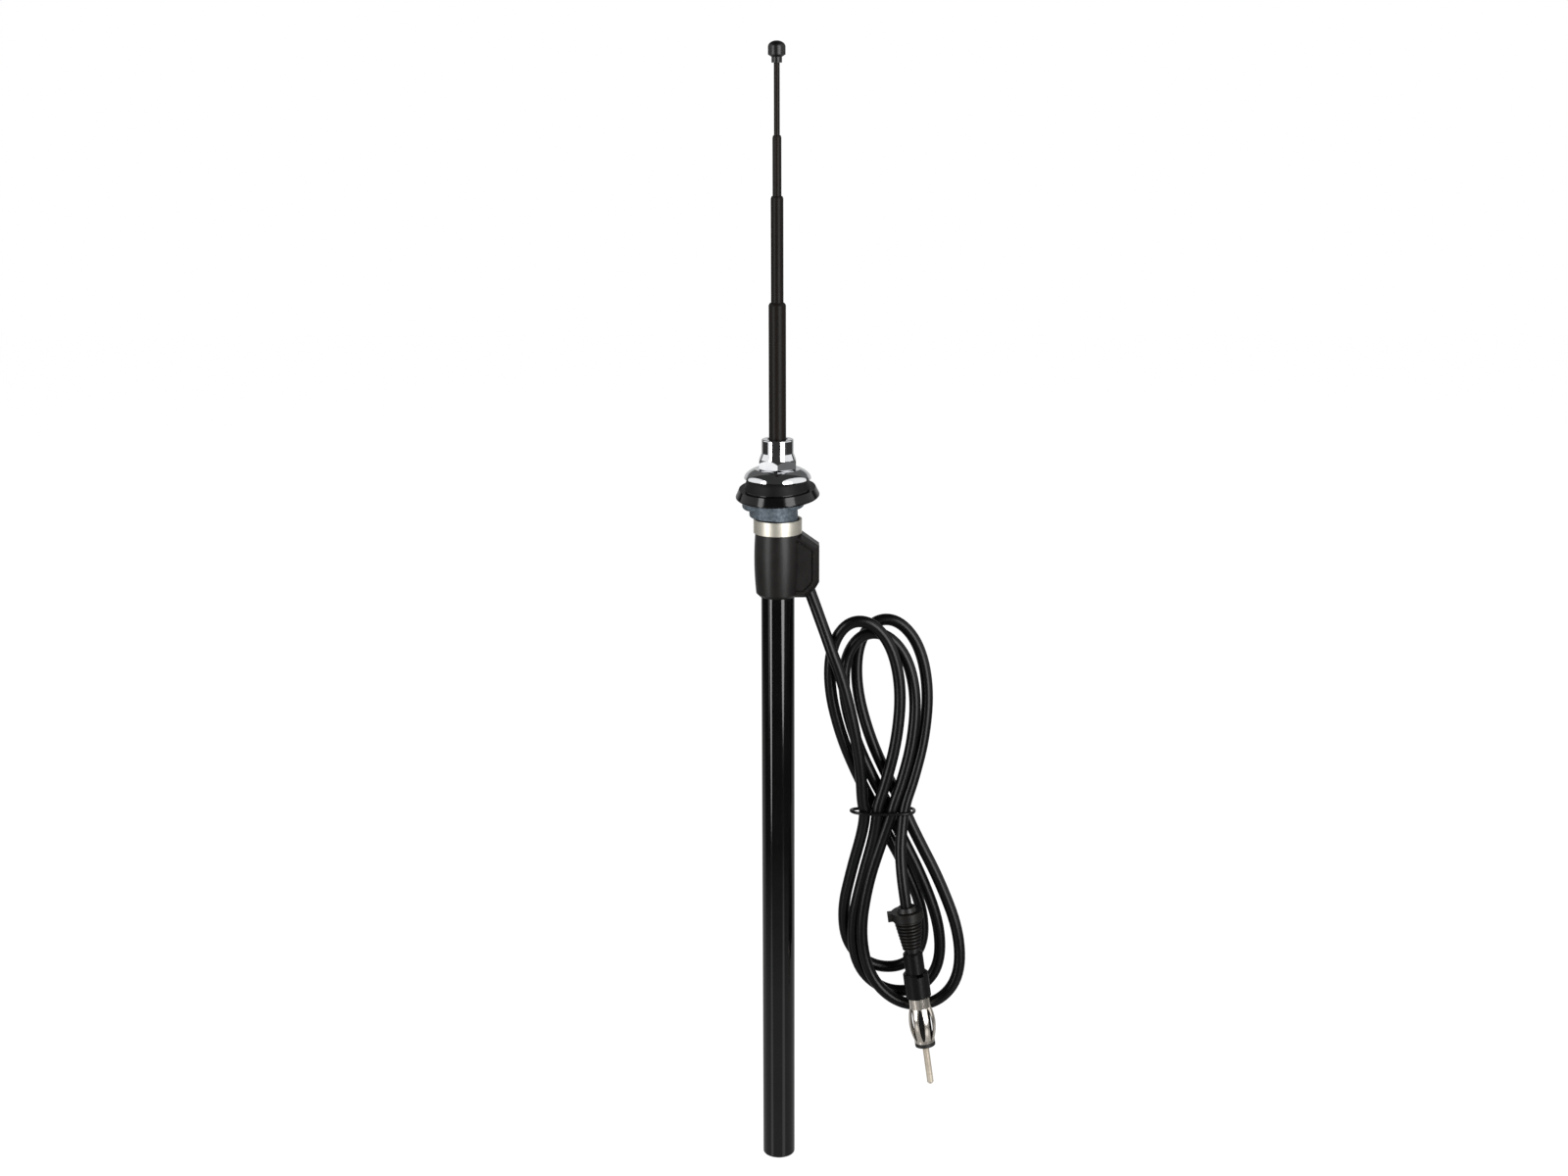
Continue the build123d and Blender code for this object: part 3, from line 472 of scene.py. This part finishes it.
def lightRoom(room):
    world = bpy.data.worlds.new("studioRoom")
    scene.world = world
    world.use_nodes = True
    tree = world.node_tree
    tree.nodes.clear()
    direction = addNode(tree, "ShaderNodeTexCoord").outputs["Generated"]
    toward = addNode(tree, "ShaderNodeSeparateXYZ", None, {"Vector": direction}).outputs

    def combine(operation, first, second=0.0):
        node = addNode(tree, "ShaderNodeMath", {"operation": operation}, {0: first})
        if isinstance(second, float):
            node.inputs[1].default_value = second
        else:
            tree.links.new(second, node.inputs[1])
        return node.outputs[0]

    def rise(socket, start, stop):
        return addNode(tree, "ShaderNodeMapRange", {"interpolation_type": "SMOOTHSTEP", "From Min": start,
                                                    "From Max": stop}, {"Value": socket}).outputs["Result"]

    brightness = []
    for patch in room["rounds"]:
        turn, up, spread, soft = (math.radians(patch[key]) for key in ("turn", "up", "spread", "soft"))
        middle = (math.sin(turn) * math.cos(up), -math.cos(turn) * math.cos(up), math.sin(up))
        near = addNode(tree, "ShaderNodeVectorMath", {"operation": "DOT_PRODUCT", 1: middle}, {0: direction})
        seen = combine("MULTIPLY", rise(near.outputs["Value"], math.cos(spread + soft), math.cos(spread)),
                       rise(toward["Z"], patch["foot"], patch["foot"] + room["footEdge"]))
        brightness.append(combine("MULTIPLY", seen, patch["grey"]))
    for sail in room["sails"]:
        seen = None
        for axis in ("Y", "Z"):
            low, high = sail[axis]
            for start, stop in ((low, low + sail["soft"]), (high, high - sail["soft"])):
                if -1.0 < start < 1.0:
                    edge = rise(toward[axis], start, stop)
                    seen = edge if seen is None else combine("MULTIPLY", seen, edge)
        brightness.append(combine("MULTIPLY", seen, sail["grey"]))
    level = combine("MAXIMUM", brightness[0], room["roomGrey"])
    for other in brightness[1:]:
        level = combine("MAXIMUM", level, other)
    rays = addNode(tree, "ShaderNodeLightPath")
    sky = addNode(tree, "ShaderNodeBackground", {"Color": (1.0, 1.0, 1.0, 1.0), "Strength": room["skyLight"]})
    metalSees = addNode(tree, "ShaderNodeBackground", {"Color": (1.0, 1.0, 1.0, 1.0)}, {"Strength": level})
    white = addNode(tree, "ShaderNodeBackground", {"Color": (1.0, 1.0, 1.0, 1.0)})
    glossy = addNode(tree, "ShaderNodeMixShader", None,
                     {0: rays.outputs["Is Glossy Ray"], 1: sky.outputs[0], 2: metalSees.outputs[0]})
    seen = addNode(tree, "ShaderNodeMixShader", None,
                   {0: rays.outputs["Is Camera Ray"], 1: glossy.outputs[0], 2: white.outputs[0]})
    addNode(tree, "ShaderNodeOutputWorld", None, {"Surface": seen.outputs[0]})


def layFloor(room):
    half = room["floorSize"] / 2.0
    level = cadBox[0][2]
    mesh = bpy.data.meshes.new("studioFloor")
    mesh.from_pydata([(-half, -half, level), (half, -half, level), (half, half, level), (-half, half, level)],
                     [], [(0, 1, 2, 3)])
    floor = bpy.data.objects.new("studioFloor", mesh)
    scene.collection.objects.link(floor)
    finish, tree, principled, _ = startFinish("paintedFloor", {"Roughness": room["floorRoughness"]})
    principled.inputs["Base Color"].default_value = linear(room["floorColour"])
    rays = addNode(tree, "ShaderNodeLightPath")
    glow = addNode(tree, "ShaderNodeEmission", {"Strength": room["floorGlow"]})
    share = addNode(tree, "ShaderNodeMath", {"operation": "MULTIPLY", 1: room["floorShare"]},
                    {0: rays.outputs["Is Camera Ray"]})
    mixed = addNode(tree, "ShaderNodeMixShader", None,
                    {0: share.outputs[0], 1: principled.outputs[0], 2: glow.outputs[0]})
    output = next(node for node in tree.nodes if node.type == "OUTPUT_MATERIAL")
    tree.links.new(mixed.outputs[0], output.inputs["Surface"])
    mesh.materials.append(finish)
    floor.visible_glossy = False
    floor.visible_shadow = False


for box in studio["boxes"]:
    placeSoftBox(box, studio["distance"])
lightRoom(studio)
layFloor(studio)
print("studio lit")
